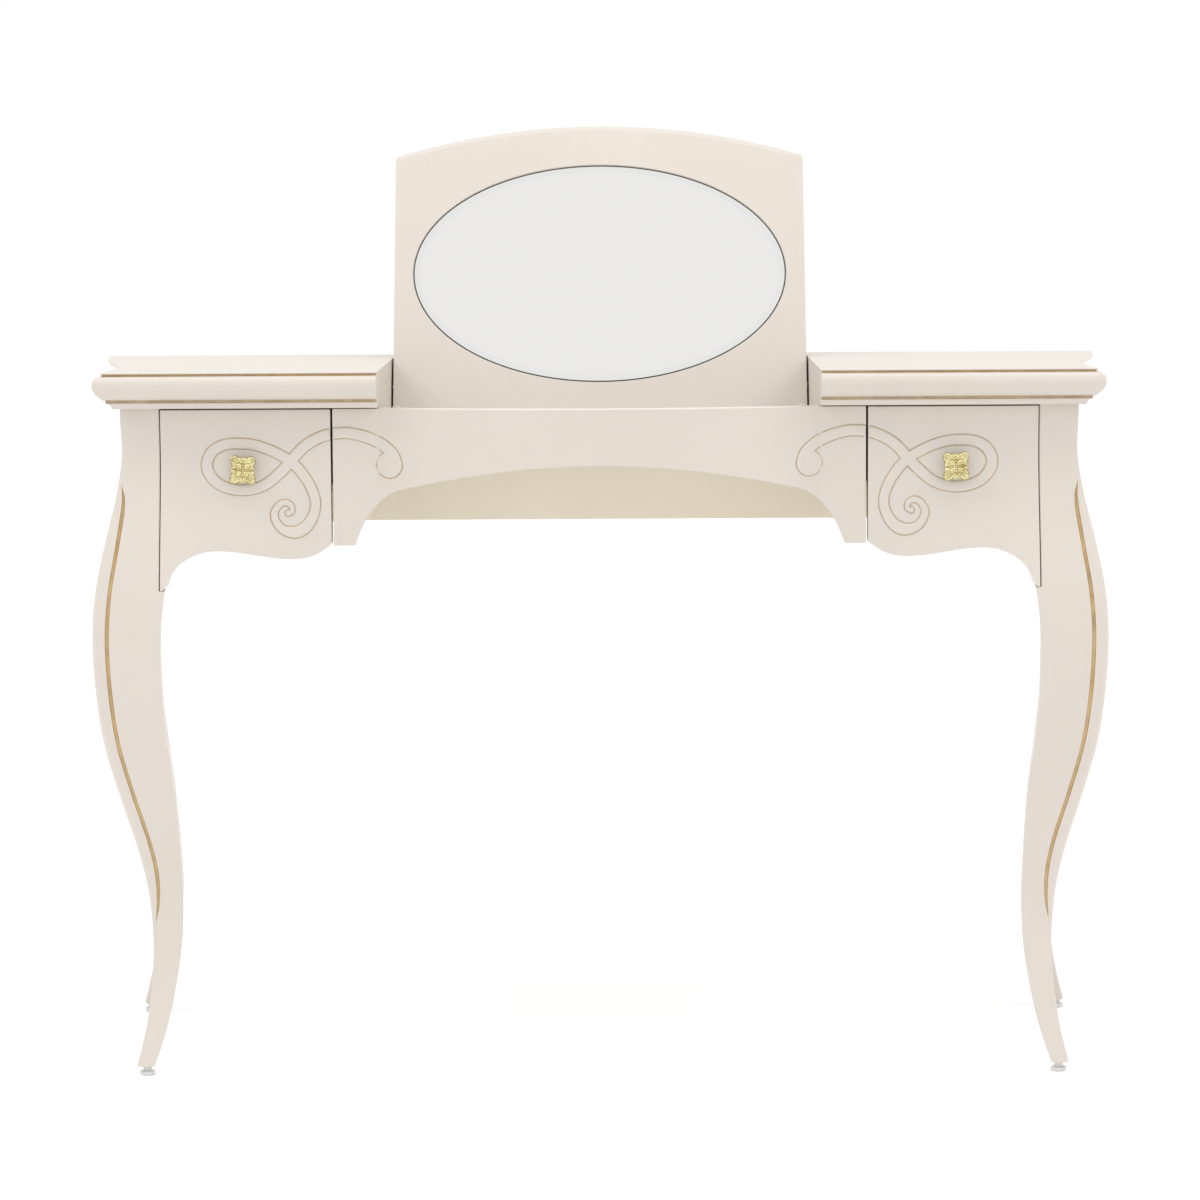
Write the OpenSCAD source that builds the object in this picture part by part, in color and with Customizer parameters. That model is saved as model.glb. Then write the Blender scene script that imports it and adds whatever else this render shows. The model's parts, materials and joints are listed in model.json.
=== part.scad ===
// Dressing table with a lift-up mirror lid, two drawers and four cabriole legs.
// Millimetres, +Z up, the front faces -Y. The origin is on the floor under the middle
// of the table with its lid raised. Inside the modules y is the depth behind the gold
// line along the front edge of the top, and placed() moves each shape to its place.

/* [Table top] */
// Height of the top surface above the floor
top_z = 792; // [770:1:810]
// Thickness of the top boards
board_t = 20; // [18:0.5:22]
// Height of the moulded edge along the front
moulding_h = 39.5; // [38:0.5:41]
// Depth of the top, front line to back edge
top_depth = 408; // [404:1:414]
// Half the width of the top at its front corners
front_half = 547; // [543:0.5:550]
// Half the width of the top where the moulded edge ends
waist_half = 542; // [539:0.5:542.5]
// Half the width of the top at its back corners
back_half = 589; // [584:0.5:592]
// Length of the moulded edge along each end
return_len = 130; // [120:1:140]

/* [Lid] */
// Half the width of the opening for the lid
opening_half = 244; // [243:0.5:245]
// Gap at each side of the lid
lid_gap = 2.2; // [1.5:0.1:2.5]
// How far the curved front edge stands forward at its middle
bow = 39; // [36:0.5:41]
// Angle of the raised lid behind vertical
lid_lean = 22; // [20:0.5:22]
// Depth of the lid's pivot line
pivot_y = 289; // [287:0.5:289]
// Half the width of the oval mirror
mirror_a = 219; // [205:1:222]
// Half the height of the oval mirror
mirror_b = 135; // [125:1:137]

/* [Legs] */
// Half the width over the front legs at their tops
leg_x = 528.5; // [526:0.5:530]
// Angle at which the ends of the table spread towards the back
flare = 5.43; // [5.2:0.01:5.5]
// Depth of the back legs' rear faces
leg_back_y = 382; // [381:0.5:384]
// Height of the foot above the floor, which is the glide's height
foot_z = 11; // [10:0.5:12]
// Diameter of the glides
glide_d = 17.5; // [16:0.5:19]

/* [Drawers] */
// Distance of a drawer front's inner edge from the middle
drawer_in = 296.6; // [296:0.1:297.5]
// Distance of a drawer front's outer edge from the middle
drawer_out = 484.4; // [483.5:0.1:484.6]
// Height of the knobs
knob_z = 685; // [675:1:700]
// Distance of the knobs from the middle
knob_x = 392.5; // [385:0.5:400]
// Width of a knob over its leaves
knob_w = 31; // [28:0.5:34]

/* [Hidden] */
$fn = 48;
arc_fn = 360;

ivory = [0.89, 0.86, 0.81];
panel_grey = [0.83, 0.80, 0.73];
pale_wood = [0.80, 0.68, 0.52];
zinc = [0.72, 0.73, 0.75];
gold = [0.83, 0.66, 0.30];
silvered = [0.85, 0.88, 0.90];

// Heights and depths that follow from the driving dimensions
board_under = top_z - board_t;
moulding_under = top_z - moulding_h;
moulding_d = 30;
face_y = 21;
lid_t = 39;
mirror_board_t = 12;
lid_under = top_z - lid_t;
pivot_z = lid_under + mirror_board_t / 2;
lid_tail = 47;
lid_half = opening_half - lid_gap;
arc_r = (opening_half * opening_half + bow * bow) / (2 * bow);
lid_arc_y = arc_r - bow;
apron_t = 22;
apron_arc_y = face_y + lid_arc_y;
lid_reach = pivot_y + bow;
lid_rise = top_z - pivot_z;
rear_extreme = pivot_y + lid_reach * sin(lid_lean) + lid_rise * cos(lid_lean);
y_mid = (face_y - bow + rear_extreme) / 2;

block_w = 43;
block_d = 50;
rebate = 20;
shoulder_z = 552;
spread = tan(flare);
foot_in = 15;
nail_d = 2.5;
nail_len = 14;

side_t = 20;
side_y0 = face_y + block_d;
side_y1 = leg_back_y - block_d;
back_y = 364;
back_t = 16;
back_z = 596.5;
partition_t = 18;
partition_z = 662;
partition_x1 = opening_half + partition_t;
well_z = 694;
well_t = 6;

apron_half = 294.3;
apron_top = moulding_under - 1.5;
drawer_top = moulding_under - 2;
front_back_y = face_y + 20;
box_x0 = 305;
box_x1 = 469;
box_side_t = 12;
box_z0 = 614;
box_z1 = 738;
box_y1 = 345;
bottom_z = 618;
bottom_t = 5;

slide_z = 665;
slide_h = 24;
slide_w = 10;
slide_wall = 2;
slide_lip = 6;
slide_y0 = 60;
slide_gap = box_x0 - 2.5;
play = 0.4;
rail_z0 = 655;
rail_z1 = 700;

pin_r = 3.5;
pin_x0 = 200;
pin_x1 = 260;
bush_r = 7;
running = 0.05;
screw_r = 2;
glass_t = 4.6;
pocket_t = 5;
touch = 0.1;
far = 2000;

// Sweep of a leg's outer faces, as [height, distance outwards from the block]
leg_bulge = [[800, 0], [740, 0], [700, -1], [660, 5], [600, 19.4], [550, 29.6],
    [500, 33.6], [440, 31.2], [380, 23.4], [320, 8.1], [260, -9.2], [205, -21],
    [150, -25.2], [100, -22.6], [60, -17.4], [30, -10.5], [11, -5]];
// Sweep of its inner faces below the shoulder, as [height, distance inwards]
leg_inset = [[560, 48], [540, 44.2], [500, 40.2], [430, 41.1], [375, 46.5], [320, 53.2],
    [260, 57.1], [205, 59.3], [150, 57.7], [100, 50.1], [60, 41.1], [30, 31.7], [11, 24.5]];
// The back legs stand further out than that, as [height, distance]
rear_shift = [[800, 0], [600, 0], [560, 1], [530, 3.5], [500, 6], [440, 9.5], [380, 13],
    [320, 13.2], [260, 10.2], [205, 7], [150, 3.6], [100, 1.6], [60, 1], [30, 0.5], [11, 0]];
// Part of the sweep that the back legs lack towards the wall
rear_ease = 0.3;

// Smooth curve through stations [height, offset], read at height z
function seg(s, z, i = 0) = i >= len(s) - 2 || z >= s[i + 1][0] ? i : seg(s, z, i + 1);
function slope(s, i) =
    let (a = max(i - 1, 0), b = min(i + 1, len(s) - 1))
    (s[b][1] - s[a][1]) / (s[b][0] - s[a][0]);
function curve(s, z) =
    let (i = seg(s, z), h = s[i + 1][0] - s[i][0], t = (z - s[i][0]) / h,
        a = s[i][1], b = s[i + 1][1], p = slope(s, i) * h, q = slope(s, i + 1) * h)
    a + p * t + (3 * (b - a) - 2 * p - q) * t ^ 2 + (2 * (a - b) + p + q) * t ^ 3;

// Bezier curve from a to d, as n + 1 points
function cubic(a, b, c, d, t) =
    a * (1 - t) ^ 3 + 3 * b * (1 - t) ^ 2 * t + 3 * c * (1 - t) * t ^ 2 + d * t ^ 3;
function cubic_run(a, b, c, d, n) = [for (k = [0 : n]) cubic(a, b, c, d, k / n)];
function reversed(p) = [for (i = [len(p) - 1 : -1 : 0]) p[i]];
function oval(a, b, n) = [for (i = [0 : n - 1]) [a * cos(360 * i / n), b * sin(360 * i / n)]];

// Draws children for the right-hand side; side is 1 for right, -1 for left
module placed(side = 1) {
    translate([0, -y_mid, 0])
        mirror([side < 0 ? 1 : 0, 0, 0])
            children();
}

// A shape drawn in (x, z), solid from depth y0 to y1
module across(y0, y1) {
    translate([0, y1, 0])
        rotate([90, 0, 0])
            linear_extrude(height = y1 - y0)
                children();
}

// A shape drawn in (y, z), solid from x0 to x1
module along(x0, x1) {
    translate([x0, 0, 0])
        rotate([90, 0, 90])
            linear_extrude(height = x1 - x0)
                children();
}

// A shape drawn in (x, y), solid from height z0 to z1
module level(z0, z1) {
    translate([0, 0, z0])
        linear_extrude(height = z1 - z0)
            children();
}

// The frame of an end of the table: its x is 0 on the legs' outer faces
module end_frame() {
    translate([leg_x, face_y, 0])
        rotate([0, 0, -flare])
            children();
}
function end_x(y) = leg_x + spread * (y - face_y);
function side_inner_x(y) = end_x(y) - side_t / cos(flare);

// ---- Legs ----------------------------------------------------------------------

// Profile of a leg: the outer face is at 0 and the block reaches inwards to -block
module leg_profile(block, top, tenon, shift = 0, ease = 0) {
    steps = 32;
    function moved(z) = shift * curve(rear_shift, z) - ease * curve(leg_bulge, z);
    outer = [for (k = [0 : steps])
        let (z = top - (top - foot_z) * k / steps) [curve(leg_bulge, z) + moved(z), z]];
    inner = [for (k = [0 : steps])
        let (z = foot_z + (shoulder_z - foot_z) * k / steps) [moved(z) - curve(leg_inset, z), z]];
    polygon(concat([[-block, tenon], [-rebate, tenon], [-rebate, top]], outer, inner,
        [[-block, shoulder_z]]));
}

// The two profiles cross, so the leg bends outwards and forwards by the same sweep
module leg_shape(top, tenon) {
    spare = 6;
    intersection() {
        rotate([0, 0, -flare])
            across(-far, far)
                leg_profile(block_w + spare, top, tenon);
        along(-far, far)
            mirror([1, 0])
                leg_profile(block_d, top, tenon);
        level(0, tenon)
            square(400, center = true);
    }
}

// A front leg's block has a straight inner face, so that the drawer passes it
module leg_front(side) {
    color(ivory)
        placed(side)
            difference() {
                translate([leg_x, face_y, 0])
                    leg_shape(moulding_under, board_under);
                translate([0, -far, shoulder_z])
                    cube([leg_x - block_w, 2 * far, far]);
            }
}

module leg_rear(side) {
    color(ivory)
        placed(side)
            intersection() {
                translate([end_x(leg_back_y), leg_back_y, 0])
                    mirror([0, 1, 0])
                        intersection() {
                            rotate([0, 0, flare])
                                across(-far, far)
                                    leg_profile(block_w, board_under - touch / 10, board_under, shift = 1);
                            along(-far, far)
                                mirror([1, 0])
                                    leg_profile(block_d, board_under - touch / 10, board_under, ease = rear_ease);
                        }
                cube([far, far, board_under - touch / 10]);
            }
}

module glide() {
    cylinder(h = 3, d = glide_d);
    translate([0, 0, 3])
        cylinder(h = foot_z - 3, d = glide_d - 2);
    translate([0, 0, foot_z])
        cylinder(h = nail_len, d = nail_d);
}

module glide_front(side) {
    color(zinc)
        placed(side)
            translate([leg_x - foot_in, face_y + foot_in, 0])
                glide();
}

module glide_rear(side) {
    color(zinc)
        placed(side)
            translate([end_x(leg_back_y) - foot_in, leg_back_y - foot_in, 0])
                glide();
}

// ---- Aprons and back -----------------------------------------------------------

// Share of the legs' sweep that a drawer front has: none beside the apron, all at the leg
function swell_share(x) =
    let (t = (x - drawer_in) / (drawer_out - drawer_in))
    t * t * (3 - 2 * t);

// Section through a swelling front, in (y, z), back at y1
module swelling_section(y1, share) {
    steps = 24;
    z0 = 540;
    z1 = 800;
    polygon(concat([[y1, z1]],
        [for (k = [0 : steps]) let (z = z1 + (z0 - z1) * k / steps)
            [face_y - share * curve(leg_bulge, z), z]],
        [[y1, z0]]));
}

// Half of the apron's lower edge, from its outer end to the middle of the arch
apron_foot_x = 271;
apron_foot_z = 599.5;
arch_z = 689.3;
apron_edge = concat([[apron_half, apron_foot_z]],
    cubic_run([apron_foot_x, apron_foot_z], [262, 628], [243, 659], [212, 663.2], 6),
    cubic_run([212, 663.2], [170, 673], [95, 689], [0, arch_z], 6));

module apron_elevation() {
    right = concat([[apron_half, apron_top]], apron_edge);
    polygon(concat(right, reversed([for (p = right) [-p[0], p[1]]])));
}

module apron_bow() {
    intersection() {
        translate([0, apron_arc_y, apron_foot_z])
            difference() {
                cylinder(h = apron_top - apron_foot_z, r = arc_r, $fn = arc_fn);
                translate([0, 0, -1])
                    cylinder(h = far, r = arc_r - apron_t, $fn = arc_fn);
            }
        translate([-opening_half, face_y - bow - 1, 0])
            cube([2 * opening_half, 80, far]);
    }
}

module centre_apron() {
    color(ivory)
        placed()
            intersection() {
                across(-100, 100)
                    apron_elevation();
                union() {
                    apron_bow();
                    for (side = [0, 1])
                        mirror([side, 0, 0])
                            translate([opening_half - 1, face_y, 0])
                                cube([apron_half - opening_half + 1, apron_t, far]);
                }
            }
}

// Lower edge of a side apron, from its middle to the leg
side_mid_y = (side_y0 + side_y1) / 2;
side_half = (side_y1 - side_y0) / 2;
side_edge = concat(
    cubic_run([0, 612], [45, 612], [60, 600], [86, 600], 6),
    cubic_run([86, 600], [108, 600], [120, 585], [side_half, 558], 6));

module side_elevation() {
    back = [for (p = side_edge) [side_mid_y + p[0], p[1]]];
    front = [for (p = side_edge) [side_mid_y - p[0], p[1]]];
    polygon(concat(reversed(front), back,
        [[side_y1, board_under], [return_len + touch, board_under],
            [return_len + touch, moulding_under], [side_y0, moulding_under]]));
}

module side_apron(side) {
    steps = 24;
    z1 = board_under;
    z0 = 550;
    color(ivory)
        placed(side)
            intersection() {
                end_frame()
                    across(-far, far)
                        polygon(concat([[-side_t, z1]],
                            [for (k = [0 : steps]) let (z = z1 + (z0 - z1) * k / steps)
                                [curve(leg_bulge, z), z]],
                            [[-side_t, z0]]));
                along(leg_x - 100, leg_x + 100)
                    side_elevation();
            }
}

module back_panel() {
    half = end_x(back_y) - block_w / cos(flare) - touch;
    color(panel_grey)
        placed()
            translate([-half, back_y, back_z])
                cube([2 * half, back_t, board_under - back_z]);
}

// ---- Top -----------------------------------------------------------------------

turn = atan((front_half - waist_half) / return_len);
function return_x(y) = front_half - tan(turn) * y;

// Plan of the area inside the moulded edge, shared by the board and the moulding
module inner_plan() {
    inner = moulding_d / cos(turn);
    polygon([[opening_half - 1, moulding_d], [return_x(moulding_d) - inner, moulding_d],
        [return_x(far / 4) - inner, far / 4], [opening_half - 1, far / 4]]);
}

module top_board(side) {
    color(ivory)
        placed(side)
            level(board_under, top_z) {
                inner = moulding_d / cos(turn);
                polygon([[opening_half, moulding_d],
                    [return_x(moulding_d) - inner, moulding_d],
                    [return_x(return_len) - inner, return_len],
                    [waist_half, return_len], [back_half, top_depth],
                    [opening_half, top_depth]]);
            }
}

// The strip's front edge slopes back, so the lid's tail clears it
strip_gap = 49.3;
strip_slope = 8.7;

module top_rear_strip() {
    edge = pivot_y + strip_gap;
    color(ivory)
        placed()
            along(-opening_half, opening_half)
                polygon([[edge, top_z], [edge + strip_slope, board_under],
                    [top_depth, board_under], [top_depth, top_z]]);
}

// Edge section as [outwards, down]: groove, bead, lower groove and cavetto
bead_steps = 8;
edge_section = concat([[0, 0], [0, -0.8], [-1.6, -0.8], [-1.6, -3.2]],
    cubic_run([0, -3.2], [8.5, -3.2], [12.5, -14], [-4.4, -29.4], bead_steps),
    [[-7, -29.8], [-7, -32.4]],
    cubic_run([-6.4, -32.8], [-8.5, -33], [-13, -35.5], [-13, -39.5], 4));

module edge_moulding(side) {
    color(ivory)
        placed(side)
            difference() {
                intersection() {
                    along(opening_half, front_half + 20)
                        polygon(concat([for (p = edge_section) [-p[0], top_z + p[1]]],
                            [[return_len, moulding_under], [return_len, top_z]]));
                    translate([front_half, 0, 0])
                        rotate([0, 0, turn])
                            across(-40, far / 4)
                                polygon(concat([for (p = edge_section) [p[0], top_z + p[1]]],
                                    [[-far / 4, moulding_under], [-far / 4, top_z]]));
                }
                level(moulding_under - 1, top_z + 1)
                    inner_plan();
            }
}

// ---- Well and drawer bays ------------------------------------------------------

// A panel between the well and a drawer bay, notched around the apron and moulding
module partition(side) {
    color(ivory)
        placed(side)
            difference() {
                along(opening_half, partition_x1)
                    polygon([[back_y, partition_z], [back_y, board_under],
                        [moulding_d, board_under], [moulding_d, moulding_under],
                        [face_y + apron_t, moulding_under],
                        [face_y + apron_t, partition_z]]);
                translate([opening_half - 1, pivot_y, pivot_z])
                    rotate([0, 90, 0])
                        cylinder(h = partition_t + 2, r = bush_r);
            }
}

module well_floor() {
    color(ivory)
        placed()
            intersection() {
                translate([0, apron_arc_y, well_z])
                    cylinder(h = well_t, r = arc_r - apron_t - 0.2, $fn = arc_fn);
                translate([touch - opening_half, 0, well_z])
                    cube([2 * (opening_half - touch), back_y - touch, well_t]);
            }
}

module pivot_bush(side) {
    color(gold)
        placed(side)
            translate([opening_half, pivot_y, pivot_z])
                rotate([0, 90, 0])
                    difference() {
                        cylinder(h = partition_t, r = bush_r);
                        translate([0, 0, -1])
                            cylinder(h = partition_t + 2, r = pin_r + running);
                    }
}

module runner_rail_inner(side) {
    color(pale_wood)
        placed(side)
            translate([partition_x1, face_y + apron_t, rail_z0])
                cube([slide_gap - slide_w - partition_x1, back_y - face_y - apron_t,
                    rail_z1 - rail_z0]);
}

module runner_rail_outer(side) {
    x0 = box_x1 + box_x0 - slide_gap + slide_w;
    color(pale_wood)
        placed(side)
            level(rail_z0, rail_z1)
                polygon([[x0, side_y0 + 1], [side_inner_x(side_y0 + 1), side_y0 + 1],
                    [side_inner_x(side_y1 - 1), side_y1 - 1], [x0, side_y1 - 1]]);
}

// A channel drawn at the drawer's inner side; its mouth faces the drawer
module channel_section() {
    translate([slide_gap - slide_w, slide_z])
        difference() {
            square([slide_w, slide_h]);
            translate([slide_wall, slide_wall])
                square([slide_w - 2 * slide_wall, slide_h - 2 * slide_wall]);
            translate([slide_wall, slide_lip])
                square([slide_w, slide_h - 2 * slide_lip]);
        }
}

module runner_section() {
    x0 = slide_gap - slide_w + slide_wall + play;
    x1 = slide_gap - slide_wall - play;
    translate([x0, slide_z + slide_wall + play])
        square([x1 - x0, slide_h - 2 * slide_wall - 2 * play]);
    translate([x0, slide_z + slide_lip + play])
        square([box_x0 - x0, slide_h - 2 * slide_lip - 2 * play]);
}

// Draws a section at the drawer's inner side and mirrored at its outer side
module both_sides() {
    middle = (box_x0 + box_x1) / 2;
    children();
    translate([2 * middle, 0, 0])
        mirror([1, 0, 0])
            children();
}

module slide_channel(side) {
    color(zinc)
        placed(side)
            both_sides()
                across(slide_y0, box_y1)
                    channel_section();
}

module slide_runner(side) {
    color(zinc)
        placed(side)
            both_sides()
                across(slide_y0, box_y1)
                    runner_section();
}

// Blocks that hold the top boards down, and the screws up through them
block_size = 24;
block_ys = [138, 219, 300];
outer_block_x = box_x1 + 16;
outer_screw_x = box_x1 + 20;

module fixing_blocks() {
    color(pale_wood)
        for (side = [-1, 1])
            placed(side)
                for (y = block_ys) {
                    translate([partition_x1, y, board_under - block_size])
                        cube(block_size);
                    level(board_under - block_size, board_under)
                        polygon([[outer_block_x, y], [side_inner_x(y), y],
                            [side_inner_x(y + block_size), y + block_size],
                            [outer_block_x, y + block_size]]);
                }
}

module fixing_screws() {
    color(zinc)
        for (side = [-1, 1])
            placed(side)
                for (y = block_ys)
                    for (x = [partition_x1, outer_screw_x])
                        translate([x + block_size / 2, y + block_size / 2,
                            board_under - block_size]) {
                            cylinder(h = block_size + 12, r = screw_r);
                            translate([0, 0, -2])
                                cylinder(h = 2, r = 2 * screw_r);
                        }
}

// ---- Lid -----------------------------------------------------------------------

// The lid's pieces are drawn closed and turned about the pivot line
module raised() {
    translate([0, pivot_y, pivot_z])
        rotate([-(90 + lid_lean), 0, 0])
            translate([0, -pivot_y, -pivot_z])
                children();
}

// A slab from z0 to z1 with the bowed front edge, whose profile is [outwards, height]
module lid_slab(edge, z0, z1) {
    intersection() {
        translate([0, lid_arc_y, 0])
            rotate_extrude($fn = arc_fn)
                polygon(concat([[0, z0]], [for (p = edge) [arc_r + p[0], p[1]]], [[0, z1]]));
        translate([-lid_half, -2 * bow, z0 - 1])
            cube([2 * lid_half, 2 * bow + pivot_y + lid_tail, z1 - z0 + 2]);
    }
}

panel_z = lid_under + mirror_board_t;
panel_edge = concat([[-1, panel_z]],
    reversed([for (p = cubic_run([0, -3.2], [8.5, -3.2], [12, -13], [-1, -27], bead_steps))
        if (p[1] > panel_z - top_z) [p[0], top_z + p[1]]]),
    [[-1.6, top_z - 3.2], [-1.6, top_z - 0.8], [0, top_z - 0.8], [0, top_z]]);

module lid_panel() {
    color(ivory)
        placed()
            raised()
                lid_slab(panel_edge, panel_z, top_z);
}

mirror_y = pivot_y - 139.6;

module mirror_board() {
    color(ivory)
        placed()
            raised()
                difference() {
                    lid_slab([[-7, lid_under], [-1, panel_z]], lid_under, panel_z);
                    translate([0, mirror_y, lid_under - 1])
                        linear_extrude(height = pocket_t + 1)
                            polygon(oval(mirror_a + 0.5, mirror_b + 0.5, 96));
                    for (side = [-1, 1])
                        translate([side * (pin_x0 + far) / 2, pivot_y, pivot_z])
                            rotate([0, 90, 0])
                                cylinder(h = far - pin_x0, r = pin_r, center = true);
                }
}

module mirror_glass() {
    color(silvered)
        placed()
            raised()
                translate([0, mirror_y, lid_under + pocket_t - glass_t])
                    linear_extrude(height = glass_t)
                        polygon(oval(mirror_a, mirror_b, 96));
}

module pivot_pin(side) {
    color(zinc)
        placed(side)
            translate([pin_x0, pivot_y, pivot_z])
                rotate([0, 90, 0])
                    cylinder(h = pin_x1 - pin_x0, r = pin_r);
}

// Little pads on the apron, just under the closed lid
module lid_bumpers() {
    color(panel_grey)
        for (side = [-1, 1])
            placed(side)
                translate([opening_half - 20, face_y + 8, apron_top])
                    cylinder(h = lid_under - apron_top - 0.3, d = 8);
}

// ---- Drawers -------------------------------------------------------------------

// Lower edge of a drawer front, from the tail at the leg to its inner end
tail_z = shoulder_z + 2;
swell_slices = 12;
slice_w = (drawer_out - drawer_in) / swell_slices;
drawer_edge = concat([[drawer_out, tail_z], [480, tail_z + 1]],
    cubic_run([478, tail_z + 3], [470, 581], [452, 595.3], [424, 595.3], 6),
    cubic_run([420, 595.3], [396, 595.3], [368, 585], [339, 584.8], 6),
    cubic_run([335, 584.8], [322, 584.8], [310, 590], [drawer_in, 601.4], 4));

module drawer_front(side) {
    color(ivory)
        placed(side)
            difference() {
                intersection() {
                    across(-100, 100)
                        polygon(concat([[drawer_in, drawer_top], [drawer_out, drawer_top]],
                            drawer_edge));
                    for (k = [0 : swell_slices - 1])
                        along(drawer_in + k * slice_w, drawer_in + (k + 1) * slice_w)
                            swelling_section(front_back_y,
                                swell_share(drawer_in + (k + 0.5) * slice_w));
                }
                translate([knob_x, front_back_y + 1, knob_z])
                    rotate([90, 0, 0])
                        cylinder(h = 80, r = screw_r + 0.2);
            }
}

module drawer_side(side, x) {
    color(pale_wood)
        placed(side)
            translate([x, front_back_y, box_z0])
                cube([box_side_t, box_y1 - front_back_y, box_z1 - box_z0]);
}

module drawer_inner_side(side) {
    drawer_side(side, box_x0);
}

module drawer_outer_side(side) {
    drawer_side(side, box_x1 - box_side_t);
}

module drawer_back(side) {
    z0 = bottom_z + bottom_t;
    color(pale_wood)
        placed(side)
            translate([box_x0 + box_side_t, box_y1 - box_side_t, z0])
                cube([box_x1 - box_x0 - 2 * box_side_t, box_side_t, box_z1 - 8 - z0]);
}

module drawer_bottom(side) {
    color(panel_grey)
        placed(side)
            translate([box_x0 + box_side_t, front_back_y, bottom_z])
                cube([box_x1 - box_x0 - 2 * box_side_t, box_y1 - front_back_y, bottom_t]);
}

// A cast knob: foot, stem and four leaves around a raised middle
foot_h = 2;
stem_h = 13;
leaf_t = 6;
boss_h = 21;
knob_foot_r = 8;
knob_y = face_y
    - swell_share(knob_x + 2 * knob_foot_r) * curve(leg_bulge, knob_z - knob_foot_r);

module knob(side) {
    leaf_r = knob_w / 4;
    color(gold)
        placed(side)
            translate([knob_x, knob_y, knob_z])
                rotate([90, 0, 0])
                    difference() {
                        union() {
                            cylinder(h = foot_h, r = knob_foot_r);
                            cylinder(h = stem_h, r = 4.5);
                            for (a = [45 : 90 : 315])
                                rotate([0, 0, a])
                                    translate([leaf_r * 1.1, 0, stem_h])
                                        cylinder(h = leaf_t, r = leaf_r);
                            translate([0, 0, stem_h])
                                cylinder(h = boss_h - stem_h, r = 5);
                        }
                        translate([0, 0, -1])
                            cylinder(h = stem_h, r = screw_r);
                    }
}

module knob_screw(side) {
    color(zinc)
        placed(side)
            translate([knob_x, front_back_y, knob_z])
                rotate([90, 0, 0]) {
                    cylinder(h = front_back_y - knob_y + 10, r = screw_r);
                    translate([0, 0, -2.5])
                        cylinder(h = 2.5, r = 2.2 * screw_r);
                }
}

leg_front(-1);  // leg_front_left
leg_front(1);  // leg_front_right
leg_rear(-1);  // leg_rear_left
leg_rear(1);  // leg_rear_right
glide_front(-1);  // glide_front_left
glide_front(1);  // glide_front_right
glide_rear(-1);  // glide_rear_left
glide_rear(1);  // glide_rear_right
centre_apron();
side_apron(-1);  // side_apron_left
side_apron(1);  // side_apron_right
back_panel();
top_board(-1);  // top_board_left
top_board(1);  // top_board_right
top_rear_strip();
edge_moulding(-1);  // edge_moulding_left
edge_moulding(1);  // edge_moulding_right
partition(-1);  // partition_left
partition(1);  // partition_right
well_floor();
runner_rail_inner(-1);  // runner_rail_inner_left
runner_rail_inner(1);  // runner_rail_inner_right
runner_rail_outer(-1);  // runner_rail_outer_left
runner_rail_outer(1);  // runner_rail_outer_right
slide_channel(-1);  // slide_channel_left
slide_channel(1);  // slide_channel_right
slide_runner(-1);  // slide_runner_left
slide_runner(1);  // slide_runner_right
fixing_blocks();
fixing_screws();
pivot_bush(-1);  // pivot_bush_left
pivot_bush(1);  // pivot_bush_right
lid_panel();
mirror_board();
mirror_glass();
pivot_pin(-1);  // pivot_pin_left
pivot_pin(1);  // pivot_pin_right
lid_bumpers();
drawer_front(-1);  // drawer_front_left
drawer_front(1);  // drawer_front_right
drawer_inner_side(-1);  // drawer_inner_side_left
drawer_inner_side(1);  // drawer_inner_side_right
drawer_outer_side(-1);  // drawer_outer_side_left
drawer_outer_side(1);  // drawer_outer_side_right
drawer_back(-1);  // drawer_back_left
drawer_back(1);  // drawer_back_right
drawer_bottom(-1);  // drawer_bottom_left
drawer_bottom(1);  // drawer_bottom_right
knob(-1);  // knob_left
knob(1);  // knob_right
knob_screw(-1);  // knob_screw_left
knob_screw(1);  // knob_screw_right
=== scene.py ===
"""Looks of a dressing table: lacquered body with gold lines, a bevelled mirror and cast knobs."""
import json
import math

import bpy
from mathutils import Matrix, Vector


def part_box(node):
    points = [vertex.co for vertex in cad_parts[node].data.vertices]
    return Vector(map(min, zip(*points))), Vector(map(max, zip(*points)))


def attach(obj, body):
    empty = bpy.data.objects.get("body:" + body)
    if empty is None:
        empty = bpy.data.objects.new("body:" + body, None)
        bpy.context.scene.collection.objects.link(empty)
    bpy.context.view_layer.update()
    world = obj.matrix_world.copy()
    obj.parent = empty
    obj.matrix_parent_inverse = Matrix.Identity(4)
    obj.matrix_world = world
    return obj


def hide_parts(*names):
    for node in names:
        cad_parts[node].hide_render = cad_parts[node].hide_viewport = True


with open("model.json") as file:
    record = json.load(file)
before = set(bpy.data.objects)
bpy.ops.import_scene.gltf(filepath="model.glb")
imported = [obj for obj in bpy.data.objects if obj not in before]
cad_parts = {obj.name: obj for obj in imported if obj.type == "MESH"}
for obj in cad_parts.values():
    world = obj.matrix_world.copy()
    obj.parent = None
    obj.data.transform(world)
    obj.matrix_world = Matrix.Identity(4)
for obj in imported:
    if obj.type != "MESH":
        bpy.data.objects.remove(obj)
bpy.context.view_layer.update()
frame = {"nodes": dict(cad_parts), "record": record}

MM = 0.001
nodes = frame["nodes"]


# ---- Places read from the frame --------------------------------------------------------
def low(node, axis):
    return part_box(node)[0][axis] / MM


def high(node, axis):
    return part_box(node)[1][axis] / MM


X, Y, Z = 0, 1, 2


def middle(node, axis):
    return (low(node, axis) + high(node, axis)) / 2


# ---- Sizes and places, in millimetres --------------------------------------------------
# Heights of the top and of the moulding under its edge
TOP = high("top_board_right", Z)
BOARD_UNDER = low("top_board_right", Z)
MOULDING_UNDER = low("edge_moulding_right", Z)
# Half widths: the lid's opening, the front corners, the waist behind them and the back
OPENING = low("top_board_right", X)
FRONT_HALF = 547
WAIST_HALF = 542
BACK_HALF = high("top_board_right", X)
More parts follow.
